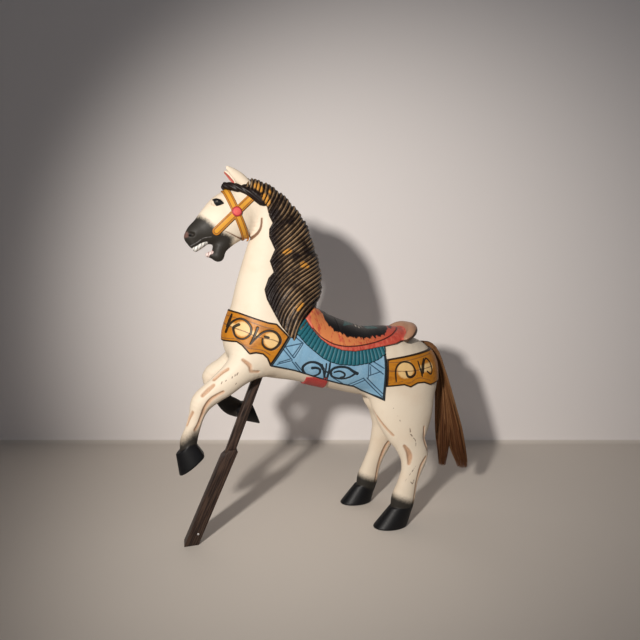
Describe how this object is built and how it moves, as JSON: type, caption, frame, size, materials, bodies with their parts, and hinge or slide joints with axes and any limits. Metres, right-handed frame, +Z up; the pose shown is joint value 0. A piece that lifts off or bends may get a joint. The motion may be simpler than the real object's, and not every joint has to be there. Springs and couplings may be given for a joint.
{
  "type": "carousel horse",
  "caption": "Carved and painted wooden carousel horse with saddle and fibre tail, rearing on its hind hooves and a wooden prop.",
  "frame": {"origin": "on the ground, under the middle of the whole part's box", "axes": "+Z up, the horse looks along -X, its near (left) side faces -Y"},
  "size_m": [0.702, 0.1864, 0.7895],
  "materials": {
    "painted_wood": "hand-painted in several colours, satin",
    "tail_fibre": "raw plant fibre",
    "stained_wood": "dark stain, satin"
  },
  "bodies": {
    "root": {"horse": "painted_wood", "tail": "tail_fibre", "prop_rod": "stained_wood", "prop_foot": "stained_wood"}
  },
  "joints": []
}
